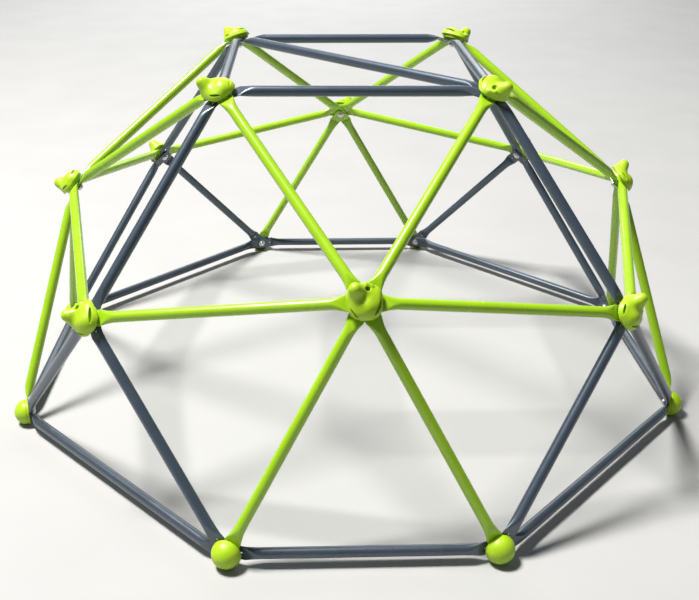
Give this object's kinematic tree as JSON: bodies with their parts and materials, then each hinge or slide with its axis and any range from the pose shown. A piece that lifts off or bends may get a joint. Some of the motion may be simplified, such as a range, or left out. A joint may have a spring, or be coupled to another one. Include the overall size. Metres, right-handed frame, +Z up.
{
  "type": "dome climber",
  "caption": "Faceted climbing dome of straight metal tubes with flattened ends, bolted at hubs that carry moulded climbing holds and round foot caps.",
  "frame": {"origin": "on the ground at the middle of the dome", "axes": "+Z up; -Y is the front, the side of the dome that faces the viewer; +X is to the viewer's right"},
  "size_m": [1.8154, 1.8154, 0.939],
  "materials": {
    "green_paint": "gloss powder coat",
    "dark_paint": "gloss powder coat",
    "green_plastic": "semi-gloss moulded polyethylene",
    "zinc": "bright zinc plate"
  },
  "bodies": {
    "root": {"top_bar_front": "dark_paint", "top_bar_right": "dark_paint", "top_bar_back": "dark_paint", "top_bar_left": "dark_paint", "top_bar_diagonal": "dark_paint", "corner_riser_front_left": "dark_paint", "corner_riser_front_right": "dark_paint", "corner_riser_back_right": "dark_paint", "corner_riser_back_left": "dark_paint", "corner_leg_front_left_left": "dark_paint", "corner_leg_front_left_right": "dark_paint", "corner_leg_front_right_left": "dark_paint", "corner_leg_front_right_right": "dark_paint", "corner_leg_back_right_left": "dark_paint", "corner_leg_back_right_right": "dark_paint", "corner_leg_back_left_left": "dark_paint", "corner_leg_back_left_right": "dark_paint", "ground_bar_front": "dark_paint", "ground_bar_right": "dark_paint", "ground_bar_back": "dark_paint", "ground_bar_left": "dark_paint", "ground_bar_front_left": "dark_paint", "ground_bar_front_right": "dark_paint", "ground_bar_back_right": "dark_paint", "ground_bar_back_left": "dark_paint", "star_arm_front_left": "green_paint", "star_arm_front_right": "green_paint", "star_arm_right_left": "green_paint", "star_arm_right_right": "green_paint", "star_arm_back_left": "green_paint", "star_arm_back_right": "green_paint", "star_arm_left_left": "green_paint", "star_arm_left_right": "green_paint", "star_riser_front_left": "green_paint", "star_riser_front_right": "green_paint", "star_riser_right_left": "green_paint", "star_riser_right_right": "green_paint", "star_riser_back_left": "green_paint", "star_riser_back_right": "green_paint", "star_riser_left_left": "green_paint", "star_riser_left_right": "green_paint", "star_leg_front_left": "green_paint", "star_leg_front_right": "green_paint", "star_leg_right_left": "green_paint", "star_leg_right_right": "green_paint", "star_leg_back_left": "green_paint", "star_leg_back_right": "green_paint", "star_leg_left_left": "green_paint", "star_leg_left_right": "green_paint", "top_holds": "green_plastic", "star_holds": "green_plastic", "corner_holds": "green_plastic", "foot_caps": "green_plastic", "hub_bolts": "zinc", "hub_washers": "zinc", "insert_nuts": "zinc"}
  },
  "joints": []
}
